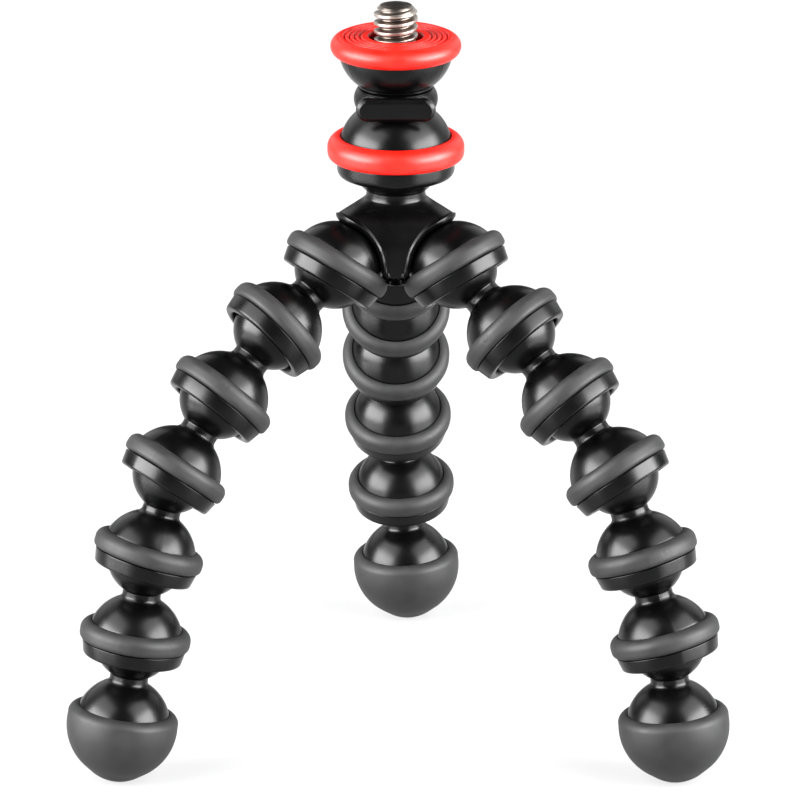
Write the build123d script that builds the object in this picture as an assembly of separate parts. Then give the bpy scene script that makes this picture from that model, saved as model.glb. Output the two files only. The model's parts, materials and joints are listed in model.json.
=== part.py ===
from build123d import *
import math
import os

# Flexible leg tripod for a small camera.
# Three legs of snap-together ball links hang from a three-lobed hub. A ball on top of the
# hub carries the camera head. Units are millimetres, +Z is up, and the origin lies on the
# floor under the tripod's own axis. The front of the object faces -Y.

# Ball chain of a leg, measured from a socket's centre along the link's own axis. A dome is
# the outside of a socket's wall, and its sphere and the ball's cross inside the neck.
ball_radius = 5.85
ball_clearance = 0.05
socket_wall = 1.1
sphere_crossing = 0.11
neck_radius = 2.8
neck_fillet = 0.6
ball_fillet = 0.3
dome_radius = ball_radius + ball_clearance + socket_wall
link_pitch = ball_radius + dome_radius - sphere_crossing

# Rubber ring of a leg link and the groove that it sits in
ring_overhang = 1.1
ring_height = 2.8
ring_bottom = -0.45
groove_depth = 0.4
rubber_gap = 0.05
ring_radius = dome_radius + ring_overhang
ring_top = ring_bottom + ring_height
groove_radius = dome_radius - groove_depth

# Lip under the ring, with the flared mouth that the next ball snaps through
lip_overhang = 0.55
lip_taper = 0.4
lip_height = 2.15
lip_fillet = 0.4
throat_rise = 0.7
mouth_flare = 0.3
lip_top_radius = dome_radius + lip_overhang
lip_bottom_radius = lip_top_radius - lip_taper
lip_shoulder = ring_bottom - rubber_gap
lip_depth = lip_height - lip_shoulder
throat_depth = lip_depth - throat_rise
mouth_radius = ball_radius + mouth_flare

# Rubber foot on a round core: a ball that tapers to a blunter tip
foot_radius = 8.1
foot_wall = 1.05
foot_taper = 1.9
foot_tip_offset = 2.35
foot_tip_radius = foot_radius - foot_taper
foot_inner_radius = foot_radius - foot_wall
foot_core_radius = foot_inner_radius - rubber_gap
foot_pitch = ball_radius + foot_core_radius - sphere_crossing

# Stance of the legs. A lean is an angle from the vertical, a turn is about a link's axis.
hub_ring_gap = 0.78
hub_socket_lean_angle = 35.7
first_lean_angle = 53.0
leg_spacing_angle = 120
leg_azimuth_angles = {"left": 210, "right": 330, "rear": 90}
leg_lean_angles = {
    "left": (44.7, 38.0, 19.8, 10.2, 10.0),
    "right": (46.0, 39.1, 20.0, 17.2, 6.6),
    "rear": (45.5, 37.5, 24.5, 15.0, 2.5),
}
leg_turn_angles = {
    "left": (0, 0, 0, 0, 0, 0),
    "right": (0, 0, 0, 0, 0, 0),
    "rear": (0, 0, 0, 6, 0, 0),
}
link_count = 5
hub_socket_reach = (ring_radius + hub_ring_gap) / math.sin(math.radians(leg_spacing_angle / 2))

# Hub cover over the sockets. Its rows are shares of its height over the sockets' centres,
# and of the way out from the neck to the sockets, over the legs and between them. The last
# row is the foot of the straight skirt under the rounded crown.
hub_neck_radius = 4.3
hub_neck_fillet = 0.8
cover_roof_rise = 3.15
cover_height_shares = (1.0, 0.94, 0.88, 0.81, 0.72, 0.58, 0.4, -0.171)
cover_lobe_shares = (0.003, 0.07, 0.34, 0.70, 0.90, 0.965, 0.988, 1.008)
cover_flat_shares = (0, 0.03, 0.118, 0.218, 0.29, 0.343, 0.382, 0.47)
cover_wall = 0.9
arch_gap = 0.35
boss_radius = 3.2
cover_height = dome_radius + arch_gap + cover_roof_rise

# Hub core, the moulding inside the cover that joins the three sockets
core_lap = 1.15
core_top_drop = 0.5
core_bottom = -1.2
core_radius = hub_socket_reach - dome_radius + core_lap
core_top = dome_radius - core_top_drop

# Ball on top of the hub and the head's socket on it
head_ball_radius = 6.8
head_ball_sink = 1.5
head_wall = 1.1
head_ring_overhang = 2.0
head_ring_height = 3.4
head_ring_bottom = -0.5
head_lip_overhang = 0.6
head_lip_height = 2.8
head_lip_fillet = 1.9
head_throat_rise = 0.6
head_mouth_inset = 0.3
head_crown_drop = 0.2
head_shoulder_overhang = 0.7
head_shoulder_drop = 2.5
head_top_inset = 1.5
head_ball_rise = cover_height + head_ball_radius - head_ball_sink
head_groove_radius = head_ball_radius + ball_clearance + head_wall
head_ring_radius = head_groove_radius + head_ring_overhang
head_ring_top = head_ring_bottom + head_ring_height
head_lip_radius = head_groove_radius + head_lip_overhang
head_lip_shoulder = head_ring_bottom - rubber_gap
head_lip_depth = head_lip_height - head_lip_shoulder
head_throat_depth = head_lip_depth - head_throat_rise
head_mouth_radius = head_ball_radius - head_mouth_inset
head_top_height = head_ball_radius - head_crown_drop
head_top_radius = head_ball_radius - head_top_inset
head_shoulder_radius = head_ball_radius + head_shoulder_overhang
head_shoulder_height = head_top_height - head_shoulder_drop

# Spindle over the head, with the locking ring on it
spindle_radius = 4.2
spindle_step = 0.3
running_gap = 0.08
lock_ring_band = 1.82
lock_ring_height = 3.5
lock_ring_seat_gap = 0.1
lock_ring_crown = 0.7
tab_width = 11.5
tab_height = 3.4
tab_thickness = 1.3
tab_overhang = 0.8
tab_edge = 0.25
spindle_guide_radius = spindle_radius - spindle_step
lock_ring_radius = spindle_radius + running_gap + lock_ring_band
tab_reach = lock_ring_radius + tab_overhang

# Camera platform and its rubber pad
platform_seat_gap = 0.15
platform_foot_radius = 5.4
platform_foot_height = 0.3
platform_bowl_radius = 6.95
platform_bowl_height = 1.75
platform_rim_radius = 8.3
platform_height = 5.6
pad_radius = 9.47
pad_bead_radius = 1.4
pad_bead_sink = 0.1
pad_thickness = 1.9
pad_hole_radius = 3.9
pad_groove_radii = (5.25, 6.4, 7.5)
pad_groove_width = 0.5
pad_groove_depth = 0.35

# Camera screw, a quarter-inch stud fixed in the spindle
screw_radius = 3.175
screw_length_over_pad = 4.8
screw_chamfer = 0.7
screw_root_depth = 1.5
screw_shank_radius = 2.9

# One overrun lets every cutting tool pass clear through its work
overrun = 2.0

os.makedirs("parts", exist_ok=True)


def turned(section):
    """Solid of revolution about Z, from a section drawn in X for radius and Y for height."""
    box = section.bounding_box()
    right_half = block(0, box.max.X, box.min.Y, box.max.Y)
    return revolve(Plane.XZ * (section & right_half), Axis.Z)


def block(inner_radius, outer_radius, low, high):
    """Rectangle of a section, between two radii and two heights."""
    return Pos(inner_radius, low) * Rectangle(
        outer_radius - inner_radius, high - low, align=(Align.MIN, Align.MIN)
    )


def outline(*points):
    """Face of a section from its corners, as (radius, height)."""
    return make_face(Polyline(*points, close=True))


def coved(shape, neck, low, high, cove):
    """Section with coves where the sides of its neck meet another shape between two heights."""
    on_neck = [v for v in shape.vertices() if math.isclose(abs(v.X), neck, rel_tol=1e-4)]
    return fillet([v for v in on_neck if low < v.Y < high], cove)


def ball_on_neck(ball, height, neck, cove):
    """Ball at a height on a straight neck, with a cove where they meet."""
    shape = Pos(0, height) * Circle(ball) + block(-neck, neck, 0, height)
    return coved(shape, neck, 0, height, cove)


def socket_cut(ball, throat, mouth, depth):
    """Section of a ball's seat, open below the throat through a flared mouth."""
    cavity = ball + ball_clearance
    throat_radius = math.sqrt(cavity**2 - throat**2)
    flare = outline(
        (0, 0),
        (0, -depth),
        (mouth, -depth),
        (throat_radius, -throat),
    )
    exit_hole = block(0, mouth, -depth - overrun, -depth)
    return Circle(cavity) - block(-cavity, cavity, -cavity - overrun, -throat) + flare + exit_hole


def ring_section(outer_radius, inner_radius, height, bottom):
    """D-shaped section of a rubber ring, flat inside and half round outside."""
    crown_radius = outer_radius - height / 2
    flat = block(inner_radius, crown_radius, bottom, bottom + height)
    crown = Pos(crown_radius, bottom + height / 2) * Circle(height / 2)
    return flat + (crown & block(crown_radius, outer_radius, bottom, bottom + height))


def socket_section():
    """Outer section of a socket, from the dome's top to the lip's bottom edge."""
    dome = Circle(dome_radius) - block(-dome_radius, dome_radius, -dome_radius, ring_top)
    groove = block(0, groove_radius, lip_shoulder, ring_top)
    lip = outline(
        (0, lip_shoulder),
        (lip_top_radius, lip_shoulder),
        (lip_bottom_radius, -lip_depth),
        (0, -lip_depth),
    )
    corner = [v for v in lip.vertices() if math.isclose(v.X, lip_bottom_radius, rel_tol=1e-4)]
    return dome + groove + fillet(corner, lip_fillet)


def socket_hollow():
    """Seat of a leg ball, with its throat and mouth."""
    return turned(socket_cut(ball_radius, throat_depth, mouth_radius, lip_depth))


def leg_stalk(pitch, base_radius):
    """Ball and neck of a leg piece over its round base."""
    shape = ball_on_neck(ball_radius, pitch, neck_radius, ball_fillet) + Circle(base_radius)
    return coved(shape, neck_radius, 0, base_radius, neck_fillet)


def link():
    """One leg link: ball and neck above, socket below, centred on its own socket."""
    stalk = leg_stalk(link_pitch, dome_radius)
    upper = stalk - block(-link_pitch, link_pitch, -link_pitch, ring_top)
    return turned(upper + socket_section()) - socket_hollow()


def leg_ring():
    """Rubber ring that grips the leg of furniture or a branch when a leg is wound round it."""
    return turned(
        ring_section(ring_radius, groove_radius + rubber_gap, ring_height, ring_bottom)
    )


def foot_core():
    """Last link of a leg, a ball and neck on a round end that the rubber foot covers."""
    return turned(leg_stalk(foot_pitch, foot_core_radius))


def foot_rubber():
    """Rubber foot: a rolled rim, a round wall and a blunt tip joined by their common cone."""
    slope = math.asin(foot_taper / foot_tip_offset)
    wall_end = (foot_radius * math.cos(slope), -foot_radius * math.sin(slope))
    tip_start = (
        foot_tip_radius * math.cos(slope),
        -foot_tip_offset - foot_tip_radius * math.sin(slope),
    )
    bulb = Circle(foot_radius) - block(0, foot_radius, -foot_radius, wall_end[1])
    bulb -= block(-foot_radius, foot_radius, ring_top - ring_height / 2, foot_radius)
    taper = outline((0, 0), wall_end, tip_start, (0, tip_start[1]))
    tip = Pos(0, -foot_tip_offset) * Circle(foot_tip_radius)
    tip -= block(-foot_radius, foot_radius, tip_start[1], foot_radius)
    rim_inner = math.sqrt(foot_inner_radius**2 - ring_top**2)
    rim = ring_section(foot_radius, rim_inner, ring_height, ring_bottom)
    inside = Circle(foot_inner_radius) + block(0, rim_inner, 0, ring_top + overrun)
    shell = bulb + taper + tip + rim - inside
    return turned(shell)


# Hub height: the left leg stands on its foot, so the hub is as high as that leg reaches
def stand_height(lean):
    """Height of a foot's centre over the floor when its link leans by an angle."""
    return foot_tip_radius + foot_tip_offset * math.cos(math.radians(lean))


def reach_down(leans):
    """Height that a whole leg spans, from the leans of its links and foot."""
    return sum(p * math.cos(math.radians(lean)) for p, lean in zip(leg_pitches, leans))


leg_pitches = (link_pitch,) * link_count + (foot_pitch,)
left_leans = (first_lean_angle,) + leg_lean_angles["left"]
hub_height = reach_down(left_leans) + stand_height(left_leans[-1])


def leg_frames(leg, lean_of_first):
    """Frames at the hub socket and at each link's own socket, from the top of a leg down."""
    around = Rot(0, 0, leg_azimuth_angles[leg])
    frame = Pos(0, 0, hub_height) * around * Pos(hub_socket_reach, 0, 0)
    frame *= Rot(0, -hub_socket_lean_angle, 0)
    frames = [frame]
    leans = (hub_socket_lean_angle, lean_of_first) + leg_lean_angles[leg]
    for upper, lower, turn, pitch in zip(leans, leans[1:], leg_turn_angles[leg], leg_pitches):
        frame = frame * Rot(0, 0, turn) * Rot(0, upper - lower, 0) * Pos(0, 0, -pitch)
        frames.append(frame)
    return frames


def standing_frames(leg):
    """Frames of a leg whose first link leans just enough for its foot to touch the floor."""
    trial = leg_frames(leg, first_lean_angle)[-1]
    foot_lean = math.degrees(math.acos(Plane(trial).z_dir.Z))
    spare = trial.position.Z - stand_height(foot_lean)
    lean = math.acos(math.cos(math.radians(first_lean_angle)) + spare / link_pitch)
    return leg_frames(leg, math.degrees(lean))


legs = {leg: standing_frames(leg) for leg in leg_azimuth_angles}
hub_sockets = [frames[0] for frames in legs.values()]
at_hub = Pos(0, 0, hub_height)


def lobed_section(height, lobe_radius, flat_radius):
    """Rounded triangle at a height, its corners over the legs and its flats between them."""
    corner_radius = 2 * flat_radius - lobe_radius
    corner_reach = lobe_radius - corner_radius
    corners = [
        Rot(0, 0, azimuth) * Pos(corner_reach, 0) * Circle(corner_radius)
        for azimuth in leg_azimuth_angles.values()
    ]
    return Pos(0, 0, height) * make_hull([edge for c in corners for edge in c.edges()])


def lobed_loft(inset):
    """Bell of the hub cover, a rounded crown on a straight skirt, drawn in by an inset."""
    spread = hub_socket_reach - hub_neck_radius
    rows = zip(cover_height_shares, cover_lobe_shares, cover_flat_shares)
    sections = [
        lobed_section(
            cover_height * rise - inset,
            hub_neck_radius + spread * lobe - inset,
            hub_neck_radius + spread * flat - inset,
        )
        for rise, lobe, flat in rows
    ]
    return loft(sections[:-1]) + loft(sections[-2:], ruled=True)


def hub_cover():
    """Three-lobed bell with an arch over each socket, and the head's ball on its neck."""
    bell = lobed_loft(0) - lobed_loft(cover_wall)
    bell += Pos(0, 0, core_top) * Cylinder(
        boss_radius,
        cover_height - core_top,
        align=(Align.CENTER, Align.CENTER, Align.MIN),
    )
    stalk = ball_on_neck(head_ball_radius, head_ball_rise, hub_neck_radius, hub_neck_fillet)
    roof = cover_height * cover_height_shares[2]
    stalk -= block(-head_ball_rise, head_ball_rise, 0, roof)
    cover = at_hub * (bell + turned(stalk))
    ring_space = ring_section(
        ring_radius + arch_gap,
        0,
        ring_height + 2 * arch_gap,
        ring_bottom - arch_gap,
    )
    lip_space = block(0, lip_top_radius + arch_gap, -lip_depth, ring_bottom)
    arch = turned(Circle(dome_radius + arch_gap) + ring_space + lip_space)
    for socket in hub_sockets:
        cover -= socket * arch
    return cover


def hub_core():
    """Inner moulding of the hub: three sockets about a short central column."""
    core = at_hub * Pos(0, 0, core_bottom) * Cylinder(
        core_radius,
        core_top - core_bottom,
        align=(Align.CENTER, Align.CENTER, Align.MIN),
    )
    for socket in hub_sockets:
        core += socket * turned(socket_section())
    for socket in hub_sockets:
        core -= socket * socket_hollow()
    return core


# Head stack, measured up from the centre of the hub's ball
at_head = Pos(0, 0, hub_height + head_ball_rise)
lock_ring_low = head_top_height + lock_ring_seat_gap
lock_ring_high = lock_ring_low + lock_ring_height
platform_low = lock_ring_high + platform_seat_gap
platform_top = platform_low + platform_height
pad_top = platform_top + pad_thickness
spindle_top = platform_top - pad_thickness
screw_root = head_ball_radius + ball_clearance + screw_root_depth


def head_socket():
    """Head that swivels on the hub's ball, with the spindle for the ring and platform."""
    lip = block(0, head_lip_radius, -head_lip_depth, head_lip_shoulder)
    corner = [v for v in lip.vertices() if v.X > 0 and math.isclose(v.Y, -head_lip_depth)]
    section = fillet(corner, head_lip_fillet)
    section += block(0, head_groove_radius, head_lip_shoulder, head_ring_top)
    shoulder = ThreePointArc(
        (head_groove_radius, head_ring_top),
        (head_shoulder_radius, head_shoulder_height),
        (head_top_radius, head_top_height),
    )
    crown = Polyline(
        (head_top_radius, head_top_height),
        (0, head_top_height),
        (0, head_ring_top),
        (head_groove_radius, head_ring_top),
    )
    section += make_face(shoulder + crown)
    section += block(0, spindle_radius, head_top_height, lock_ring_high)
    section += block(0, spindle_guide_radius, lock_ring_high, spindle_top)
    hollow = socket_cut(head_ball_radius, head_throat_depth, head_mouth_radius, head_lip_depth)
    screw_hole = block(0, screw_shank_radius, screw_root, spindle_top + overrun)
    return at_head * (turned(section) - turned(hollow) - turned(screw_hole))


def head_ring():
    """Rubber grip ring round the head."""
    inner_radius = head_groove_radius + rubber_gap
    section = ring_section(head_ring_radius, inner_radius, head_ring_height, head_ring_bottom)
    return at_head * turned(section)


def lock_ring():
    """Locking ring with a crowned rim and a plain flat thumb tab with round ends."""
    crown = ThreePointArc(
        (lock_ring_radius - lock_ring_crown, lock_ring_low),
        (lock_ring_radius, lock_ring_low + lock_ring_height / 2),
        (lock_ring_radius - lock_ring_crown, lock_ring_high),
    )
    back = Polyline(
        (lock_ring_radius - lock_ring_crown, lock_ring_high),
        (0, lock_ring_high),
        (0, lock_ring_low),
        (lock_ring_radius - lock_ring_crown, lock_ring_low),
    )
    middle = lock_ring_low + lock_ring_height / 2
    plate = extrude(SlotOverall(tab_width, tab_height), tab_thickness)
    plate = chamfer(plate.faces().sort_by(Axis.Z)[-1].edges(), tab_edge)
    plate = Pos(0, tab_thickness - tab_reach, middle) * Rot(90, 0, 0) * plate
    bore = block(0, spindle_radius + running_gap, 0, lock_ring_high + overrun)
    return at_head * (turned(make_face(crown + back)) + plate - turned(bore))


def platform():
    """Bowl-shaped camera platform that slides on the spindle."""
    foot_top = platform_low + platform_foot_height
    bowl = ThreePointArc(
        (platform_foot_radius, foot_top),
        (platform_bowl_radius, platform_low + platform_bowl_height),
        (platform_rim_radius, platform_top),
    )
    back = Polyline(
        (platform_rim_radius, platform_top),
        (0, platform_top),
        (0, foot_top),
        (platform_foot_radius, foot_top),
    )
    section = make_face(bowl + back) + block(0, platform_foot_radius, platform_low, foot_top)
    guide = block(0, spindle_guide_radius + running_gap, 0, platform_top + overrun)
    return at_head * (turned(section) - turned(guide))


def camera_pad():
    """Rubber camera pad with a round bead at its rim and grooves in its face."""
    bead_middle = pad_top - pad_bead_radius - pad_bead_sink
    section = block(pad_hole_radius, pad_radius - pad_bead_radius, platform_top, pad_top)
    bead = Pos(pad_radius - pad_bead_radius, bead_middle) * Circle(pad_bead_radius)
    under = block(0, platform_rim_radius, 0, platform_top)
    section += bead
    section -= under
    for radius in pad_groove_radii:
        section -= outline(
            (radius - pad_groove_width / 2, pad_top),
            (radius, pad_top - pad_groove_depth),
            (radius + pad_groove_width / 2, pad_top),
        )
    return at_head * turned(section)


def camera_screw():
    """Quarter-inch camera stud, plain at the thread's outer radius, on a thinner shank."""
    screw_top = pad_top + screw_length_over_pad
    thread = block(0, screw_radius, pad_top, screw_top)
    tip = [v for v in thread.vertices() if v.X > 0 and v.Y > pad_top + screw_chamfer]
    shank = block(0, screw_shank_radius, screw_root, pad_top)
    return at_head * turned(chamfer(tip, screw_chamfer) + shank)


def save(solid, name):
    """Write one piece to its own file."""
    export_step(solid, f"parts/{name}.step")


save(hub_cover(), "hub_cover")
save(hub_core(), "hub_core")
save(head_socket(), "head_socket")
save(head_ring(), "head_ring")
save(lock_ring(), "lock_ring")
save(platform(), "platform")
save(camera_pad(), "camera_pad")
save(camera_screw(), "camera_screw")

link_solid = link()
ring_solid = leg_ring()
foot_core_solid = foot_core()
foot_rubber_solid = foot_rubber()
for leg, frames in legs.items():
    for number in range(1, link_count + 1):
        save(frames[number] * link_solid, f"{leg}_link_{number}")
    for number in range(1, link_count + 2):
        save(frames[number - 1] * ring_solid, f"{leg}_ring_{number}")
    save(frames[-1] * foot_core_solid, f"{leg}_foot_core")
    save(frames[-1] * foot_rubber_solid, f"{leg}_foot_rubber")
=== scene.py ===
import json
import math

import bpy
import numpy as np
from mathutils import Matrix, Vector


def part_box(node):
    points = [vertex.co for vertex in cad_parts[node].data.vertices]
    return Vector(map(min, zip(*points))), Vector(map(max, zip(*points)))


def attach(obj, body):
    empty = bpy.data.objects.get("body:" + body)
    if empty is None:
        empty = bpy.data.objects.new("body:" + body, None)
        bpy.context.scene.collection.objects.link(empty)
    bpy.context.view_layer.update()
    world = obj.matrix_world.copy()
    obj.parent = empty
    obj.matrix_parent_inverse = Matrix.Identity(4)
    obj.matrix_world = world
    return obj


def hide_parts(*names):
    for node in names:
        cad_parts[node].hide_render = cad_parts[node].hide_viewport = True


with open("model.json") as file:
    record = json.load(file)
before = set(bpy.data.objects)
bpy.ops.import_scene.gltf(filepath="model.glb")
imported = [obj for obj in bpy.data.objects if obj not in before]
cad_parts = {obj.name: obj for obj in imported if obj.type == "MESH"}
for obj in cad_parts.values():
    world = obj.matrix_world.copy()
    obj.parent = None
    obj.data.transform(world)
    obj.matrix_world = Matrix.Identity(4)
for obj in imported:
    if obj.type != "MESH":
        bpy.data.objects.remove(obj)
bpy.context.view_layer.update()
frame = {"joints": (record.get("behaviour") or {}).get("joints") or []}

# Flexible leg tripod: the finish and fine shape of each moulding, ring, foot and the camera
# screw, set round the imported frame. Lengths are in metres, as in the frame.

MM = 0.001
JOINTS = {joint["name"]: joint for joint in frame["joints"]}
LEGS = ("left", "right", "rear")
LINKS = 5
RINGS = LINKS + 1

# Ball chain
BALL = 5.85 * MM
DOME = 7.0 * MM
SPHERE_CROSSING = 0.11 * MM
LINK_PITCH = BALL + DOME - SPHERE_CROSSING
NECK = 2.8 * MM
BALL_COVE = 0.3 * MM
DOME_COVE = 0.9 * MM
SWING = 33

# Rubber ring, the power of its lower half's superellipse, and the groove under it
RING_OUTER = 8.1 * MM
RING_HEIGHT = 2.8 * MM
RING_LOW = -0.45 * MM
RING_HIGH = RING_LOW + RING_HEIGHT
RING_SQUARENESS = 0.5
GROOVE = 6.6 * MM
GROOVE_TOP = RING_HIGH - 0.1 * MM
RUBBER_GAP = 0.05 * MM

# Lip, throat and mouth of a leg socket, and the rounding of its corners from the groove down
LIP_TOP = 7.6 * MM
LIP_BOTTOM = 7.15 * MM
LIP_DEPTH = 2.65 * MM
THROAT_DEPTH = 1.95 * MM
MOUTH = 6.15 * MM
BALL_PLAY = 0.05 * MM
CAVITY = BALL + BALL_PLAY
SOCKET_ROUNDS = (0.05 * MM, 0.18 * MM, 0.4 * MM, 0.12 * MM)

# Foot, with the angles in degrees where its rim's roll ends and its round wall starts
FOOT = 8.1 * MM
FOOT_WALL = 1.05 * MM
FOOT_INNER = FOOT - FOOT_WALL
FOOT_CORE = FOOT_INNER - RUBBER_GAP
FOOT_PITCH = BALL + FOOT_CORE - SPHERE_CROSSING
FOOT_TIP = 6.2 * MM
FOOT_TIP_OFFSET = 2.35 * MM
FOOT_ROLL_END = 12
FOOT_WALL_START = 4

# Hub cover: rows of height over the socket centres and radii over the legs and between them,
# in millimetres, and the height of a point on the axis inside the bell
HUB_NECK = 4.25 * MM
HUB_NECK_COVE = 0.8 * MM
COVER_ROWS = np.array(
    (
        (10.7, 4.25, 4.25),
        (10.0, 4.3, 4.3),
        (9.45, 4.5, 4.45),
        (9.05, 5.2, 4.7),
        (8.65, 6.6, 5.05),
        (8.2, 8.0, 5.55),
        (7.7, 9.2, 6.1),
        (7.1, 9.9, 6.6),
        (6.0, 10.2, 7.1),
        (4.2, 10.25, 7.65),
        (1.6, 10.3, 7.95),
        (-0.3, 10.3, 8.0),
        (-0.75, 10.3, 7.8),
        (-0.95, 10.3, 7.45),
        (-1.4, 10.3, 7.3),
        (-1.8, 10.3, 7.25),
    )
)
COVER_HEIGHTS, COVER_LOBES, COVER_FLATS = COVER_ROWS.T * MM
COVER_WALL = 0.9 * MM
BELL_INSIDE = -5 * MM
REAR_AZIMUTH = math.pi / 2
SECTOR = 2 * math.pi / len(LEGS)

# Step at the foot of each tongue: its row, its rise per square radian and its highest rise
TONGUE_STEP = 12.6
TONGUE_RISE = 18 * MM
TONGUE_LIMIT = 1.0 * MM

# Arches of the hub cover, the reach and depth of their rounded edge, and the height,
# distance and spread of the bead behind it
ARCH_RADIUS = 7.35 * MM
ARCH_RISE = 0.35 * MM
ARCH_GAP = 0.35 * MM
COVER_EDGE = (0.55 * MM, 0.4 * MM)
RIM_BEAD = (0.2 * MM, 0.45 * MM, 0.25 * MM)
RIM_BULGE = 0.3

# Hub column, over the socket centres
CORE_RADIUS = 4.4 * MM
CORE_TOP = 6.5 * MM
CORE_LOW = -1.2 * MM
CORE_EDGE = 0.4 * MM

# Head, measured from the centre of the hub's ball
HEAD_BALL = 6.8 * MM
HEAD_GROOVE = 7.95 * MM
HEAD_RING_OUTER = 9.95 * MM
HEAD_RING_HEIGHT = 3.4 * MM
HEAD_RING_LOW = -0.5 * MM
HEAD_RING_HIGH = HEAD_RING_LOW + HEAD_RING_HEIGHT
HEAD_LIP = 8.55 * MM
HEAD_LIP_DEPTH = 3.05 * MM
HEAD_LIP_ROUND = 2.3 * MM
HEAD_THROAT_DEPTH = 2.5 * MM
HEAD_MOUTH = 6.5 * MM
HEAD_CAVITY = HEAD_BALL + BALL_PLAY
HEAD_SHOULDER = (7.5 * MM, 4.1 * MM)
HEAD_TOP = (5.3 * MM, 6.6 * MM)
HEAD_ROUNDS = (0.05 * MM, 0.25 * MM, HEAD_LIP_ROUND, 0.2 * MM)
SPINDLE = 4.2 * MM
SPINDLE_GUIDE = 3.9 * MM
SPINDLE_ROUNDS = (0.3 * MM, 0.05 * MM, 0.2 * MM, 0.2 * MM, 0.3 * MM)
RUNNING_GAP = 0.08 * MM

# Locking ring's crowned rim, and its thumb tab
LOCK_CROWN = 0.7 * MM
TAB_WIDTH = 11.5 * MM
TAB_HEIGHT = 3.4 * MM
TAB_THICKNESS = 1.3 * MM
TAB_BEVEL = (0.55 * MM, 0.4 * MM)
TAB_ROUNDS = (0.15 * MM, 0.15 * MM, 0.2 * MM)
MOULD_EDGE = 0.12 * MM

# Camera platform's bowl, as radii and heights over its underside
BOWL_FOOT = (5.4 * MM, 0.3 * MM)
BOWL_MIDDLE = (6.95 * MM, 1.75 * MM)
BOWL_RIM = 8.3 * MM

# Camera pad: hole with a rounded edge, bead at the rim with the angle in degrees where it
# leaves the face, and the grooves of the face
PAD_HOLE = 3.9 * MM
PAD_HOLE_EDGE = 0.25 * MM
PAD_HOLE_ROUND = (0.08 * MM, 0.07 * MM)
PAD_BEAD = 1.4 * MM
PAD_BEAD_DROP = 0.1 * MM
PAD_BEAD_START = 84
PAD_GROOVES = np.array((5.2, 5.95, 6.7, 7.45)) * MM
PAD_GROOVE_DEPTH = 0.4 * MM
PAD_GROOVE_WIDTH = 0.17 * MM

# Camera screw: quarter-inch stud with a 20-per-inch thread. The root's flat and the flank
# are shares of half a turn's rise, and the crown's reach is in shares of the tip's radius.
THREAD_CREST = 3.175 * MM
THREAD_ROOT = 2.45 * MM
THREAD_PITCH = 1.27 * MM
THREAD_FLAT = 0.12
THREAD_FLANK = 0.62
THREAD_SOFTNESS = 0.6
SCREW_TIP = 2.3 * MM
SCREW_TAPER = 0.9
SCREW_CROWN = 0.25 * MM
SCREW_CROWN_REACH = (0.04, 0.96)
SCREW_SUNK = 3 * MM

# Parting lines, as height and width, and moulding marks. Down a leg each turns on from the
# last by an angle in radians, and the bowl's parting lines have azimuths in degrees.
LINK_SEAM = (0.025 * MM, 0.16 * MM)
LINK_SEAM_TURN = 1.1
RING_SEAM = (0.03 * MM, 0.1 * MM)
RING_SEAM_TURN = 1.7
RING_GATE_TURN = 2.4
BOWL_SEAM = (0.03 * MM, 0.12 * MM)
BOWL_SEAMS = (212, 328)
GATE_DEPTH = 0.05 * MM

# Columns of each mesh round its axis
LINK_COLUMNS = 144
RING_COLUMNS = 256
FOOT_COLUMNS = 192
HEAD_COLUMNS = 192
CORE_COLUMNS = 96
LOCK_COLUMNS = 160
BOWL_COLUMNS = 480
SCREW_COLUMNS = 144
COVER_COLUMNS = 440

# Mesh of the hub's bell: rows and the power that crowds them towards the edge, rows from one
# kept inside row to the next, steps round the rim, neighbours on each side in the mean of
# the meridians' ends, and samples in the search for the edge
COVER_LINES = 130
COVER_CROWDING = 1.3
INSIDE_STRIDE = 3
RIM_STEPS = 7
END_NEIGHBOURS = 3
AZIMUTH_SAMPLES = 3600
HEIGHT_SAMPLES = 1801

# Longest step along a rubber section. Arcs stop at these angles in degrees, and lines at
# this radius, just short of the axis.
LONGEST_STEP = 0.3 * MM
POLE = 89
FOOT_POLE = 89.5
NEAR_AXIS = 0.1 * MM

# Finishes: two tones, a range of roughness and a strength of shine
PLASTIC_TONES = ((0.0007, 0.0007, 0.0008), (0.0014, 0.0014, 0.0015))
PLASTIC_ROUGHNESS = (0.26, 0.34)
PLASTIC_SHINE = 0.23
GREY_TONES = ((0.009, 0.009, 0.0093), (0.014, 0.014, 0.0143))
GREY_ROUGHNESS = (0.53, 0.63)
RED_TONES = ((0.42, 0.0055, 0.002), (0.5, 0.008, 0.003))
RED_ROUGHNESS = (0.37, 0.47)
RUBBER_SHINE = 0.36
STEEL_TONES = ((0.05, 0.042, 0.038), (0.34, 0.3, 0.27))
STEEL_ROUGHNESS = (0.26, 0.42)
NOISE_RANGE = (0.3, 0.7)

# Place between the steel's two tones at the thread's root and crest, a painted shade that darkens
# the roots, and what the lines add
STEEL_ROOT_SHADE = (0.15, 0.8)
STEEL_LINES = 0.35

# Studio: the floor, the dim surround, and the lights. A light has an azimuth from the front,
# an elevation, the angles that it fills across and up, all in degrees, and a radiance.
FLOOR_REACH = 6.0
FLOOR_TONE = (0.15, 0.15, 0.15, 1)
FLOOR_ROUGHNESS = 0.2
FLOOR_SHINE = 0.6
FLOOR_GLOW = 0.55
SURROUND_TONE = (0.95, 0.97, 1.0, 1)
SURROUND_STRENGTH = 0.12
LIGHT_AIM = Vector((0, 0, 0.05))
LIGHT_DISTANCE = 0.85
LIGHTS = (
    ("side_low", 68, 16, 56, 30, 24.0),
    ("side_high", 68, 46, 56, 30, 6.0),
    ("behind", 145, 25, 40, 40, 1.2),
)

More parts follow.
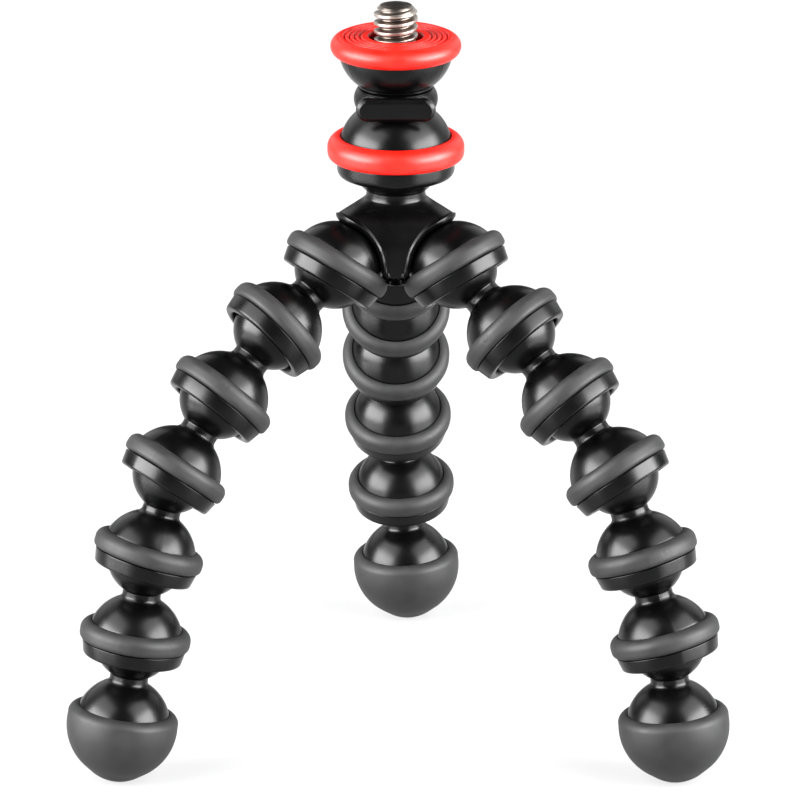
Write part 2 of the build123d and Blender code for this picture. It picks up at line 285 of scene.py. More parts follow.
# Camera fitted to the photograph, which is 800 pixels square, with a full-frame sensor
PHOTO_WIDTH = 800
FOCAL_PIXELS = 7253
SENSOR_WIDTH = 36
CAMERA_DISTANCE = 1.0644
CAMERA_PITCH = math.radians(18.45)
CAMERA_TARGET = Vector((0.0006, 0, 0.05055))


def arc(centre, radius, start, end, steps):
    """Points on a circle in (radius, height): centre plus radius at each angle in degrees."""
    angle = np.radians(np.linspace(start, end, steps))
    return np.column_stack((np.cos(angle), np.sin(angle))) * radius + np.array(centre)


def three_point(start, middle, end, steps):
    """Points on the circle through three points, from the first to the last."""
    start, middle, end = (np.array(point, float) for point in (start, middle, end))
    rows = np.array((middle - start, end - start))
    half = np.array((rows[0] @ (middle + start), rows[1] @ (end + start))) / 2
    centre = np.linalg.solve(rows, half)
    radius = np.linalg.norm(start - centre)
    angles = [math.degrees(math.atan2(*(point - centre)[::-1])) for point in (start, end)]
    return arc(centre, radius, angles[0], angles[1], steps)


def rounded(corners, radii, steps=6, closed=False):
    """Corner points joined by lines, each corner replaced by a quadratic curve.

    The curve starts and ends one radius from the corner along its two sides. A closed line
    has every corner rounded, and its last point leads on to its first."""
    corners = np.array(corners, float)
    if closed:
        corners = np.vstack((corners[-1:], corners, corners[:1]))
    runs = [] if closed else [corners[:1]]
    for before, corner, after, radius in zip(corners, corners[1:], corners[2:], radii):
        back = before - corner
        ahead = after - corner
        start = corner + back * min(0.5, radius / np.linalg.norm(back))
        end = corner + ahead * min(0.5, radius / np.linalg.norm(ahead))
        t = np.linspace(0, 1, steps)[:, None]
        runs.append((1 - t) ** 2 * start + 2 * t * (1 - t) * corner + t**2 * end)
    if not closed:
        runs.append(corners[-1:])
    return np.vstack(runs)


def refined(profile, longest):
    """The same line with points added, so that no step is longer than a given length."""
    out = [profile[:1]]
    for start, end in zip(profile, profile[1:]):
        count = max(1, int(math.ceil(np.linalg.norm(end - start) / longest)))
        t = np.linspace(0, 1, count + 1)[1:, None]
        out.append(start + (end - start) * t)
    return np.vstack(out)


def round_axis(radius, angle, height):
    """Points at a radius and an angle in radians round the upright axis, at a height."""
    parts = np.broadcast_arrays(radius * np.cos(angle), radius * np.sin(angle), height)
    return np.stack(parts, axis=-1)


def full_turn(columns):
    """Evenly spread angles round the axis, in radians."""
    return np.linspace(0, 2 * np.pi, columns, endpoint=False)


def lathe(profile, columns):
    """Grid of a surface of revolution: rows follow the profile, columns go round the axis."""
    return round_axis(profile[:, :1], full_turn(columns), profile[:, 1:])


def grid_quads(grid, ring):
    """Faces between the rows of a grid whose columns wrap round, and the UVs of their corners.

    U is the share of the way round and V the share of the grid's length. Where ring is true,
    the last row joins the first."""
    rows, columns = grid.shape[:2]
    across = np.arange(columns)
    after = (across + 1) % columns
    steps = np.linalg.norm(np.diff(grid.mean(axis=1), axis=0), axis=1)
    steps += np.linalg.norm(np.diff(grid[:, 0], axis=0), axis=1)
    v = np.concatenate(([0], np.cumsum(steps)))
    v = np.append(v / v[-1], 1.0)
    corner_u = np.column_stack((across, across, across + 1, across + 1)) / columns
    faces, uvs = [], []
    for row in range(rows if ring else rows - 1):
        low = row * columns
        high = (row + 1) % rows * columns
        faces.append(np.column_stack((low + across, high + across, high + after, low + after)))
        corner_v = np.broadcast_to(v[[row, row + 1, row + 1, row]], corner_u.shape)
        uvs.append(np.stack((corner_u, corner_v), axis=2).reshape(-1, 2))
    return np.vstack(faces), np.vstack(uvs)


def end_fans(rows, columns):
    """Triangles from a grid's first and last rows to a point each, and their corners' UVs.

    The two points are numbered on from the grid's own."""
    across = np.arange(columns)
    after = (across + 1) % columns
    last = (rows - 1) * columns
    top = np.full(columns, rows * columns)
    faces = ((top, across, after), (last + across, top + 1, last + after))
    u = across / columns
    zero = np.zeros(columns)
    one = np.ones(columns)
    uvs = ((u, zero, u, zero, u + 1 / columns, zero), (u, one, u, one, u, one))
    faces = np.vstack([np.column_stack(part) for part in faces])
    return faces, np.vstack([np.column_stack(part).reshape(-1, 2) for part in uvs])


def surface(name, grid, ring=False):
    """Closed mesh from a grid of points whose columns wrap round.

    Its first and last rows close to a point each, or join each other where ring is true. The
    sign of the volume under the faces shows which way they point."""
    points = grid.reshape(-1, 3)
    quads, uvs = grid_quads(grid, ring)
    faces = quads.tolist()
    triangles = quads[:, :3]
    if not ring:
        points = np.vstack((points, grid[0].mean(axis=0), grid[-1].mean(axis=0)))
        fans, fan_uvs = end_fans(*grid.shape[:2])
        faces += fans.tolist()
        uvs = np.vstack((uvs, fan_uvs))
        triangles = np.vstack((triangles, fans))
    mesh = bpy.data.meshes.new(name)
    mesh.from_pydata(points.tolist(), [], faces)
    layer = mesh.uv_layers.new(name="UVMap")
    layer.data.foreach_set("uv", uvs.ravel())
    mesh.polygons.foreach_set("use_smooth", np.ones(len(mesh.polygons), bool))
    mesh.update()
    first, second, third = (points[triangles[:, corner]] for corner in range(3))
    volume = np.einsum("ij,ij->i", first, np.cross(second, third)).sum()
    if volume < 0:
        mesh.flip_normals()
    thing = bpy.data.objects.new(name, mesh)
    bpy.context.scene.collection.objects.link(thing)
    return thing


def placed(grid, place):
    """The grid moved by a 4 by 4 placing matrix."""
    matrix = np.array(place)
    return grid @ matrix[:3, :3].T + matrix[:3, 3]


def finish_piece(thing, material, body, slot, *nodes):
    """Gives a piece its material and body, and hides the frame nodes that it stands for. The slot
    is not used.
    """
    thing.data.materials.append(material)
    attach(thing, body)
    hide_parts(*nodes)


def joint_place(name, side):
    """Placing matrix at a joint, with Z along its axis and Y along a side direction."""
    joint = JOINTS[name]
    z = Vector(joint["axis"]).normalized()
    y = (Vector(side) - z * z.dot(Vector(side))).normalized()
    x = y.cross(z)
    matrix = Matrix((x, y, z)).transposed().to_4x4()
    matrix.translation = Vector(joint["pos_m"])
    return matrix


def leg_places(leg):
    """Placing matrices of a leg's six sockets and its foot, from the hub down.

    The foot is turned from the last socket by the last bend's angle at rest."""
    places = []
    for number in range(1, RINGS + 1):
        side = JOINTS[f"{leg}_bend_{number}"]["axis"]
        places.append(joint_place(f"{leg}_turn_{number}", side))
    bend = JOINTS[f"{leg}_bend_{RINGS}"]
    rest = math.radians(SWING - bend["range_deg"][1])
    turned = Matrix.Rotation(rest, 4, Vector(bend["axis"]))
    foot = places[-1].copy()
    foot.translation = (0, 0, 0)
    foot = turned @ foot
    foot.translation = places[-1].translation - foot.col[2].to_3d() * FOOT_PITCH
    places.append(foot)
    return places


# Profiles, as (radius, height) from the top of a piece to its bottom
def stalk_profile(ball, height, neck, ball_cove, base, base_cove):
    """Ball, cove, neck and cove down to where a base sphere takes over.

    A cove's centre lies its own radius beyond both its sphere and the neck."""
    high_out = neck + ball_cove
    low_out = neck + base_cove
    upper = height - math.sqrt((ball + ball_cove) ** 2 - high_out**2)
    lower = math.sqrt((base + base_cove) ** 2 - low_out**2)
    ball_angle = -math.degrees(math.acos(high_out / (ball + ball_cove)))
    base_angle = math.degrees(math.acos(low_out / (base + base_cove)))
    runs = (
        arc((0, height), ball, POLE, ball_angle, steps=40),
        arc((high_out, upper), ball_cove, 180 + ball_angle, 180, steps=10)[1:],
        arc((low_out, lower), base_cove, 180, 180 + base_angle, steps=14),
    )
    return np.vstack(runs), base_angle


def socket_profile():
    """Groove, lip, mouth, throat and ball seat of a leg socket."""
    throat = math.sqrt(CAVITY**2 - THROAT_DEPTH**2)
    throat_angle = -math.degrees(math.asin(THROAT_DEPTH / CAVITY))
    shoulder = RING_LOW - RUBBER_GAP
    outside = rounded(
        (
            (GROOVE, GROOVE_TOP),
            (GROOVE, shoulder),
            (LIP_TOP, shoulder),
            (LIP_BOTTOM, -LIP_DEPTH),
            (MOUTH, -LIP_DEPTH),
            (throat, -THROAT_DEPTH),
        ),
        SOCKET_ROUNDS,
    )
    return np.vstack((outside, arc((0, 0), CAVITY, throat_angle, POLE, steps=24)))


def link_profile():
    """Ball, neck, dome and socket of one link."""
    stalk, base_angle = stalk_profile(BALL, LINK_PITCH, NECK, BALL_COVE, DOME, DOME_COVE)
    ring_angle = math.degrees(math.asin(RING_HIGH / DOME))
    dome = arc((0, 0), DOME, base_angle, ring_angle, steps=22)[1:]
    return np.vstack((stalk, dome, socket_profile()))


def foot_core_profile():
    """Ball and neck of the foot on a round end inside the rubber."""
    stalk, base_angle = stalk_profile(BALL, FOOT_PITCH, NECK, BALL_COVE, FOOT_CORE, DOME_COVE)
    return np.vstack((stalk, arc((0, 0), FOOT_CORE, base_angle, -POLE, steps=40)[1:]))


def ring_profile(outer, inner, height, low):
    """Closed D-shaped section of a rubber ring: round outside and flat inside.

    The lower half is a superellipse, so that the ring sits square on the lip under it."""
    half = height / 2
    angle = np.radians(np.linspace(90, -90, num=25))
    power = np.where(angle < 0, RING_SQUARENESS, 1.0)
    out = np.abs(np.cos(angle)) ** power
    up = np.sign(angle) * np.abs(np.sin(angle)) ** power
    crown = np.column_stack((outer - half + half * out, low + half + half * up))
    flat = np.array(((inner, low), (inner, low + height)))
    return refined(np.vstack((crown, flat, crown[:1])), LONGEST_STEP)[:-1]


def foot_rubber_profile():
    """Closed section of the rubber foot: rolled rim, round wall, cone, blunt tip and inside."""
    slope = math.degrees(math.asin((FOOT - FOOT_TIP) / FOOT_TIP_OFFSET))
    half = RING_HEIGHT / 2
    rim_angle = math.degrees(math.asin(RING_HIGH / FOOT_INNER))
    runs = (
        arc((FOOT - half, RING_HIGH - half), half, 90, FOOT_ROLL_END, steps=12),
        arc((0, 0), FOOT, FOOT_WALL_START, -slope, steps=26),
        arc((0, -FOOT_TIP_OFFSET), FOOT_TIP, -slope, -FOOT_POLE, steps=18),
        arc((0, 0), FOOT_INNER, -FOOT_POLE, rim_angle, steps=40),
    )
    return np.vstack(runs)


def seam_ridge(grid, profile_radius, seam, start):
    """Grid pushed outwards along two meridians, half a turn apart, as a mould's parting line.

    The push falls off as a Gaussian of the distance from the meridian."""
    height, width = seam
    angle = full_turn(grid.shape[1]) - start
    offset = np.abs((angle + np.pi / 2) % np.pi - np.pi / 2)
    push = height * np.exp(-((offset * profile_radius / width) ** 2))
    radial = grid * (1, 1, 0)
    radius = np.linalg.norm(radial, axis=2, keepdims=True)
    scale = push[None, :, None] / np.maximum(radius, NECK / 2)
    return grid + radial * scale


def gate_mark(grid, angle, row_share, radius):
    """Grid with a small round moulding mark: a sunk ring round one point of the section.

    The sink is a Gaussian of the distance from a circle of the given radius."""
    rows, columns = grid.shape[:2]
    centre = grid[int(row_share * rows), int(angle / (2 * np.pi) * columns) % columns]
    away = np.linalg.norm(grid - centre, axis=2)
    sink = GATE_DEPTH * np.exp(-(((away - radius) / (radius / 4)) ** 2))
    radial = grid * (1, 1, 0)
    radial /= np.linalg.norm(radial, axis=2, keepdims=True)
    return grid - radial * sink[:, :, None]


# Materials
def shader(name):
    """Empty node material and its main shader."""
    material = bpy.data.materials.new(name)
    material.use_nodes = True
    tree = material.node_tree
    return material, tree, tree.nodes["Principled BSDF"]


def node(tree, kind, **settings):
    """Adds a node, with inputs given by name and other settings as attributes."""
    made = tree.nodes.new(kind)
    for key, value in settings.items():
        if key in made.inputs:
            made.inputs[key].default_value = value
        else:
            setattr(made, key, value)
    return made


def noise_of(tree, where, scale, detail):
    """Noise over the piece, with its size given in cells per metre."""
    made = node(tree, "ShaderNodeTexNoise", Scale=scale, Detail=detail)
    tree.links.new(where, made.inputs["Vector"])
    return made.outputs["Fac"]


def remap(tree, value, source, target):
    """Straight-line change from one range to another."""
    made = node(tree, "ShaderNodeMapRange")
    names = ("From Min", "From Max", "To Min", "To Max")
    for key, number in zip(names, source + target):
        made.inputs[key].default_value = number
    tree.links.new(value, made.inputs["Value"])
    return made.outputs["Result"]


def bump(tree, bsdf, height, strength, distance):
    """Bump from a height."""
    made = node(tree, "ShaderNodeBump", Strength=strength, Distance=distance)
    tree.links.new(height, made.inputs["Height"])
    tree.links.new(made.outputs["Normal"], bsdf.inputs["Normal"])


def two_tone(tree, value, tones):
    """Colour between two, by a value from 0 to 1."""
    made = node(tree, "ShaderNodeMix", data_type="RGBA")
    sockets = {socket.identifier: socket for socket in (*made.inputs, *made.outputs)}
    for key, tone in zip(("A_Color", "B_Color"), tones):
        sockets[key].default_value = (*tone, 1)
    tree.links.new(value, sockets["Factor_Float"])
    return sockets["Result_Color"]


def black_plastic():
    """Glossy moulded black plastic: a cloudy haze in tone and polish, and a fine grain."""
    material, tree, bsdf = shader("black_moulded_plastic")
    where = node(tree, "ShaderNodeTexCoord").outputs["Object"]
    haze = noise_of(tree, where, scale=260, detail=3)
    fine = noise_of(tree, where, scale=2400, detail=2)
    roughness = remap(tree, haze, NOISE_RANGE, PLASTIC_ROUGHNESS)
    tree.links.new(roughness, bsdf.inputs["Roughness"])
    tree.links.new(two_tone(tree, haze, PLASTIC_TONES), bsdf.inputs["Base Color"])
    bump(tree, bsdf, fine, strength=0.08, distance=0.04 * MM)
    bsdf.inputs["Specular IOR Level"].default_value = PLASTIC_SHINE
    return material


def rubber(name, tones, roughness):
    """Satin rubber: cloudy colour, fine grain and a soft sheen."""
    material, tree, bsdf = shader(name)
    where = node(tree, "ShaderNodeTexCoord").outputs["Object"]
    cloud = remap(tree, noise_of(tree, where, scale=420, detail=4), NOISE_RANGE, (0, 1))
    grain = noise_of(tree, where, scale=9000, detail=2)
    tree.links.new(two_tone(tree, cloud, tones), bsdf.inputs["Base Color"])
    tree.links.new(remap(tree, cloud, (0, 1), roughness), bsdf.inputs["Roughness"])
    bump(tree, bsdf, grain, strength=0.25, distance=0.03 * MM)
    bsdf.inputs["Specular IOR Level"].default_value = RUBBER_SHINE
    return material


def rolled_steel():
    """Rolled steel with fine level lines, and painted shade that darkens the thread's roots.

    The painted shade follows the distance from the axis, from the root's radius to the crest's."""
    material, tree, bsdf = shader("rolled_steel")
    coords = node(tree, "ShaderNodeTexCoord").outputs["Object"]
    stretch = node(tree, "ShaderNodeMapping", Scale=(300, 300, 9000))
    tree.links.new(coords, stretch.inputs["Vector"])
    lines = noise_of(tree, stretch.outputs["Vector"], scale=1, detail=3)
    flat = node(tree, "ShaderNodeVectorMath", operation="MULTIPLY")
    flat.inputs[1].default_value = (1, 1, 0)
    tree.links.new(coords, flat.inputs[0])
    out = node(tree, "ShaderNodeVectorMath", operation="LENGTH")
    tree.links.new(flat.outputs["Vector"], out.inputs[0])
    # Painted shade: the colour darkens from the crest's radius down to the root's
    depth = remap(tree, out.outputs["Value"], (THREAD_ROOT, THREAD_CREST), STEEL_ROOT_SHADE)
    mixed = node(tree, "ShaderNodeMath", operation="MULTIPLY_ADD")
    tree.links.new(lines, mixed.inputs[0])
    mixed.inputs[1].default_value = STEEL_LINES
    tree.links.new(depth, mixed.inputs[2])
    tree.links.new(two_tone(tree, mixed.outputs["Value"], STEEL_TONES), bsdf.inputs["Base Color"])
    roughness = remap(tree, lines, NOISE_RANGE, STEEL_ROUGHNESS)
    tree.links.new(roughness, bsdf.inputs["Roughness"])
    bump(tree, bsdf, lines, strength=0.15, distance=0.02 * MM)
    bsdf.inputs["Metallic"].default_value = 1.0
    return material


PLASTIC = black_plastic()
GREY_RUBBER = rubber("grey_rubber", GREY_TONES, GREY_ROUGHNESS)
RED_RUBBER = rubber("red_rubber", RED_TONES, RED_ROUGHNESS)
STEEL = rolled_steel()


# Legs
def make_leg(leg):
    """Links, rings and foot of one leg, each on its own body. Returns the hub socket's place."""
    places = leg_places(leg)
    link = lathe(link_profile(), LINK_COLUMNS)
    for number in range(1, LINKS + 1):
        name = f"{leg}_link_{number}"
        seamed = seam_ridge(link, DOME, LINK_SEAM, number * LINK_SEAM_TURN)
        piece = surface(f"{name}_moulding", placed(seamed, places[number]))
        finish_piece(piece, PLASTIC, name, "black_plastic", name)
    section = ring_profile(RING_OUTER, GROOVE + RUBBER_GAP, RING_HEIGHT, RING_LOW)
    ring = lathe(section, RING_COLUMNS)
    for number in range(1, RINGS + 1):
        name = f"{leg}_ring_{number}"
        mark_angle = number * RING_GATE_TURN % (2 * np.pi)
        marked = gate_mark(ring, mark_angle, row_share=0.3, radius=0.5 * MM)
        marked = seam_ridge(marked, RING_OUTER, RING_SEAM, number * RING_SEAM_TURN)
        piece = surface(f"{name}_rubber", placed(marked, places[number - 1]), ring=True)
        finish_piece(piece, GREY_RUBBER, f"{leg}_turn_{number}", "grey_rubber", name)
    core = placed(lathe(foot_core_profile(), LINK_COLUMNS), places[-1])
    core = surface(f"{leg}_foot_moulding", core)
    finish_piece(core, PLASTIC, f"{leg}_foot", "black_plastic", f"{leg}_foot_core")
    cap = placed(lathe(foot_rubber_profile(), FOOT_COLUMNS), places[-1])
    cap = surface(f"{leg}_foot_cap", cap, ring=True)
    finish_piece(cap, GREY_RUBBER, f"{leg}_foot", "grey_rubber", f"{leg}_foot_rubber")
    return places[0]


HUB_SOCKETS = [make_leg(leg) for leg in LEGS]
HUB_HEIGHT = HUB_SOCKETS[0].translation.z
HEAD_HEIGHT = JOINTS["head_tilt"]["pos_m"][2]


# Hub
def through(values, where):
    """Catmull-Rom curve through evenly numbered values, read at the given numbers."""
    before = 2 * values[0] - values[1]
    beyond = 2 * values[-1] - values[-2]
    padded = np.concatenate(([before], values, [beyond]))
    whole = np.clip(np.floor(where).astype(int), 0, len(values) - 2)
    t = where - whole
    a, b, c, d = (padded[whole + k] for k in range(4))
    square = 2 * a - 5 * b + 4 * c - d
    cube = 3 * b - a - 3 * c + d
    return 0.5 * (2 * b + (c - a) * t + square * t**2 + cube * t**3)


def cover_point(azimuth, along):
    """Point of the hub cover's bell at an azimuth in radians and a place along its height.

    The section is a rounded triangle. Within a corner the radius is where a ray meets the
    corner's circle, and beyond it where the ray meets the flat. The step at the foot of a
    tongue rises with the square of the angle from the flat's middle, which makes its V."""
    height = through(COVER_HEIGHTS, along)
    lobe = through(COVER_LOBES, along)
    flat = through(COVER_FLATS, along)
    corner = 2 * flat - lobe
    reach = lobe - corner
    half = SECTOR / 2
    turn = np.abs((azimuth - REAR_AZIMUTH + half) % SECTOR - half)
    tangent = np.arctan2(corner * math.sin(half), reach + corner * math.cos(half))
    inside = np.maximum(corner**2 - (reach * np.sin(turn)) ** 2, 0)
    on_corner = reach * np.cos(turn) + np.sqrt(inside)
    on_flat = flat / np.cos(half - turn)
    radius = np.where(turn < tangent, on_corner, on_flat)
    tongue = np.exp(-((along - TONGUE_STEP) ** 2))
    height = height + tongue * np.minimum(TONGUE_RISE * (half - turn) ** 2, TONGUE_LIMIT)
    return round_axis(radius, azimuth, height + HUB_HEIGHT)


def in_arch(points):
    """True where a point lies in the space that an arch leaves for its socket and ring.

    The space is a sphere raised over the dome, and the ring's round section and the lip's
    cylinder, both larger by the arch's gap."""
    cut = np.zeros(points.shape[:-1], bool)
    half = RING_HEIGHT / 2
    for socket in HUB_SOCKETS:
        local = (points - np.array(socket.translation)) @ np.array(socket.to_3x3())
        out = np.linalg.norm(local[..., :2], axis=-1)
        up = local[..., 2]
        raised = np.array(socket.translation + Vector((0, 0, ARCH_RISE)))
        sphere = np.linalg.norm(points - raised, axis=-1) < ARCH_RADIUS
        beyond = np.maximum(out - (RING_OUTER - half), 0)
        ring = np.hypot(beyond, up - RING_LOW - half) < half + ARCH_GAP
        lip = (out < LIP_TOP + ARCH_GAP) & (up > -LIP_DEPTH) & (up < RING_LOW)
        cut |= sphere | ring | lip
    return cut


def arch_edge(azimuth):
    """Place along the bell's height where each meridian first meets an arch or the hem."""
    steps = np.linspace(0, len(COVER_HEIGHTS) - 1, HEIGHT_SAMPLES)
    hit = in_arch(cover_point(azimuth[:, None], steps))
    first = np.where(hit.any(axis=1), hit.argmax(axis=1), len(steps) - 1)
    return steps[first]


def cover_meridians():
    """Azimuth of each of the bell's meridians, and the place along its height where it ends.

    Their spacing is even in the sum of the edge's length and its mean, so they lie closer
    together where the edge is steep. Each end is a mean over its neighbours."""
    fine = full_turn(AZIMUTH_SAMPLES)
    edge = cover_point(fine, arch_edge(fine))
    run = np.linalg.norm(np.roll(edge, -1, axis=0) - edge, axis=1)
    run += run.mean()
    total = np.concatenate(([0], np.cumsum(run)))
    share = np.linspace(0, total[-1], COVER_COLUMNS, endpoint=False)
    azimuth = np.interp(share, total, np.append(fine, 2 * np.pi))
    end = arch_edge(azimuth)
    shifts = range(-END_NEIGHBOURS, END_NEIGHBOURS + 1)
    return azimuth, sum(np.roll(end, shift) for shift in shifts) / len(shifts)


def outward_normals(grid, inside):
    """Unit normals of a grid, square to its rows and columns and away from a point inside."""
    down = np.gradient(grid, axis=0)
    across = np.roll(grid, -1, axis=1) - np.roll(grid, 1, axis=1)
    normal = np.cross(down, across)
    normal /= np.linalg.norm(normal, axis=2, keepdims=True)
    return normal * np.sign((normal * (grid - inside)).sum(axis=2, keepdims=True))


def edge_inset(outer):
    """How far the bell sinks near its edge, by each point's distance from that edge.

    It sinks by a quarter of an ellipse, less a Gaussian bead."""
    to_edge = [np.linalg.norm(row[:, None] - outer[-1], axis=2).min(axis=1) for row in outer]
    to_edge = np.array(to_edge)
    reach, sink = COVER_EDGE
    short = np.clip(1 - to_edge / reach, 0, None)
    height, away, spread = RIM_BEAD
    bead = height * np.exp(-(((to_edge - away) / spread) ** 2))
    return sink * (1 - np.sqrt(1 - short**2)) - bead


def make_hub_cover():
    """Ball, neck and three-lobed bell of the hub as one closed shell.

    Meridians run down the bell to its arches, with rows closer together near the edge. They
    turn under in half an ellipse and come back inside by the wall's thickness."""
    azimuth, end = cover_meridians()
    rows = 1 - (1 - np.linspace(0, 1, COVER_LINES)[:, None]) ** COVER_CROWDING
    smooth = cover_point(azimuth, rows * end)
    normal = outward_normals(smooth, np.array((0, 0, HUB_HEIGHT + BELL_INSIDE)))
    inner = (smooth - normal * COVER_WALL)[::-INSIDE_STRIDE]
    outer = smooth - normal * edge_inset(smooth)[:, :, None]
    tangent = smooth[-1] - smooth[-2]
    tangent /= np.linalg.norm(tangent, axis=1, keepdims=True)
    half = np.linalg.norm(outer[-1] - inner[0], axis=1)[:, None] / 2
    middle = (outer[-1] + inner[0]) / 2
    turn = np.linspace(0, np.pi, RIM_STEPS)[1:-1, None, None]
    rim = middle + half * (np.cos(turn) * normal[-1] + RIM_BULGE * np.sin(turn) * tangent)
    keep = np.linalg.norm(inner[:, :, :2], axis=2).min(axis=1) > HUB_NECK - COVER_WALL
    rise = HEAD_HEIGHT - HUB_HEIGHT
    stalk, _ = stalk_profile(HEAD_BALL, rise, HUB_NECK, HUB_NECK_COVE, HUB_NECK, HUB_NECK_COVE)
    stalk = stalk[stalk[:, 1] > COVER_HEIGHTS[0]]
    top = round_axis(stalk[:, :1], azimuth, stalk[:, 1:] + HUB_HEIGHT)
    piece = surface("hub_cover_bell", np.vstack((top, outer, rim, inner[keep])))
    finish_piece(piece, PLASTIC, "hub", "black_plastic", "hub_cover")


def make_hub_core():
    """The three hub sockets and the short column between them."""
    dome = arc((0, 0), DOME, POLE, math.degrees(math.asin(RING_HIGH / DOME)), steps=30)
    socket = lathe(np.vstack((dome, socket_profile())), LINK_COLUMNS)
    pieces = []
    for leg, place in zip(LEGS, HUB_SOCKETS):
        pieces.append(surface(f"hub_socket_{leg}", placed(socket, place)))
    corners = (
        (NEAR_AXIS, CORE_TOP),
        (CORE_RADIUS, CORE_TOP),
        (CORE_RADIUS, CORE_LOW),
        (NEAR_AXIS, CORE_LOW),
    )
    column = rounded(corners, (CORE_EDGE, CORE_EDGE)) + (0, HUB_HEIGHT)
    column = lathe(refined(column, longest=0.5 * MM), CORE_COLUMNS)
    pieces.append(surface("hub_column", column))
    for piece in pieces:
        finish_piece(piece, PLASTIC, "hub", "black_plastic", "hub_core")


# Head
def make_head():
    """Head moulding: spindle, shoulder, ring groove, lip, mouth and the seat on the hub's ball.

    Its profile is drawn from the ball's centre, and raised to the ball's height."""
    _, lock_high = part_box("lock_ring")
    _, head_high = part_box("head_socket")
    shoulder = three_point((HEAD_GROOVE, HEAD_RING_HIGH), HEAD_SHOULDER, HEAD_TOP, steps=20)
    lock_top = lock_high.z - HEAD_HEIGHT
    spindle_top = head_high.z - HEAD_HEIGHT
    spindle = rounded(
        (
            (NEAR_AXIS, spindle_top),
            (SPINDLE_GUIDE, spindle_top),
            (SPINDLE_GUIDE, lock_top),
            (SPINDLE, lock_top),
            (SPINDLE, HEAD_TOP[1]),
            HEAD_TOP,
            tuple(shoulder[-2]),
        ),
        SPINDLE_ROUNDS,
    )[:-1]
    throat = math.sqrt(HEAD_CAVITY**2 - HEAD_THROAT_DEPTH**2)
    throat_angle = -math.degrees(math.asin(HEAD_THROAT_DEPTH / HEAD_CAVITY))
    ledge = HEAD_RING_LOW - RUBBER_GAP
    lower = rounded(
        (
            (HEAD_GROOVE, HEAD_RING_HIGH),
            (HEAD_GROOVE, ledge),
            (HEAD_LIP, ledge),
            (HEAD_LIP, -HEAD_LIP_DEPTH),
            (HEAD_MOUTH, -HEAD_LIP_DEPTH),
            (throat, -HEAD_THROAT_DEPTH),
        ),
        HEAD_ROUNDS,
        steps=10,
    )
    seat = arc((0, 0), HEAD_CAVITY, throat_angle, POLE, steps=24)
    profile = np.vstack((spindle, shoulder[::-1][1:], lower[1:], seat)) + (0, HEAD_HEIGHT)
    head = surface("head_moulding", lathe(profile, HEAD_COLUMNS))
    finish_piece(head, PLASTIC, "head", "black_plastic", "head_socket")


def make_head_ring():
    """Red rubber grip ring in the head's groove, with a moulding mark."""
    inner = HEAD_GROOVE + RUBBER_GAP
    section = ring_profile(HEAD_RING_OUTER, inner, HEAD_RING_HEIGHT, HEAD_RING_LOW)
    ring = lathe(section + (0, HEAD_HEIGHT), RING_COLUMNS)
    ring = gate_mark(ring, angle=3.3, row_share=0.2, radius=0.6 * MM)
    ring = surface("head_grip_ring", ring, ring=True)
    finish_piece(ring, RED_RUBBER, "head_tilt", "red_rubber", "head_ring")


def make_lock_ring():
    """Locking ring with a bore and a crowned rim, as an arc through three points."""
    low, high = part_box("lock_ring")
    half = (high.z - low.z) / 2
    bore = SPINDLE + RUNNING_GAP
    waist = high.x - LOCK_CROWN
    crown = three_point((waist, half), (high.x, 0), (waist, -half), steps=18)
    corners = np.vstack(((bore, -half), (bore, half), crown))
    section = rounded(corners, np.full(len(corners), MOULD_EDGE), steps=4, closed=True)
    section += (0, (low.z + high.z) / 2)
    ring = surface("lock_ring_band", lathe(section, LOCK_COLUMNS), ring=True)
    finish_piece(ring, PLASTIC, "locking_ring", "black_plastic", "lock_ring")


def make_thumb_tab():
    """Plain front tab of the locking ring, with round ends.

    Its outline is two half circles joined by straight sides. Its rows draw in towards the
    outline's middle line at its front bevel."""
    low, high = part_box("lock_ring")
    angle = full_turn(LOCK_COLUMNS)
    end = TAB_HEIGHT / 2
    centre = np.where(np.cos(angle) >= 0, 1, -1) * (TAB_WIDTH / 2 - end)
    across, depth = TAB_BEVEL
    corners = (
        (NEAR_AXIS / 2, 0),
        (end - across, 0),
        (end, depth),
        (end, TAB_THICKNESS),
        (NEAR_AXIS / 2, TAB_THICKNESS),
    )
    rows = rounded(corners, TAB_ROUNDS)
    x = centre + rows[:, :1] * np.cos(angle)
    y = np.repeat(low.y + rows[:, 1:], LOCK_COLUMNS, axis=1)
    z = (low.z + high.z) / 2 + rows[:, :1] * np.sin(angle)
    tab = surface("lock_ring_tab", np.stack((x, y, z), axis=2))
    finish_piece(tab, PLASTIC, "locking_ring", "black_plastic", "lock_ring")


def make_platform():
    """Bowl of the camera platform, its side an arc through three points."""
    low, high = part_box("platform")
    guide = SPINDLE_GUIDE + RUNNING_GAP
    lowest = np.array((0, low.z))
    foot, middle, rim = lowest + BOWL_FOOT, lowest + BOWL_MIDDLE, (BOWL_RIM, high.z)
    side = three_point(foot, middle, rim, steps=24)
    corners = np.vstack(((guide, low.z), (BOWL_FOOT[0], low.z), side, (guide, high.z)))
    section = rounded(corners, np.full(len(corners), MOULD_EDGE), steps=4, closed=True)
    bowl = lathe(section, BOWL_COLUMNS)
    for azimuth in BOWL_SEAMS:
        bowl = seam_ridge(bowl, BOWL_MIDDLE[0], BOWL_SEAM, math.radians(azimuth))
    piece = surface("platform_bowl", bowl, ring=True)
    finish_piece(piece, PLASTIC, "camera_platform", "black_plastic", "platform")


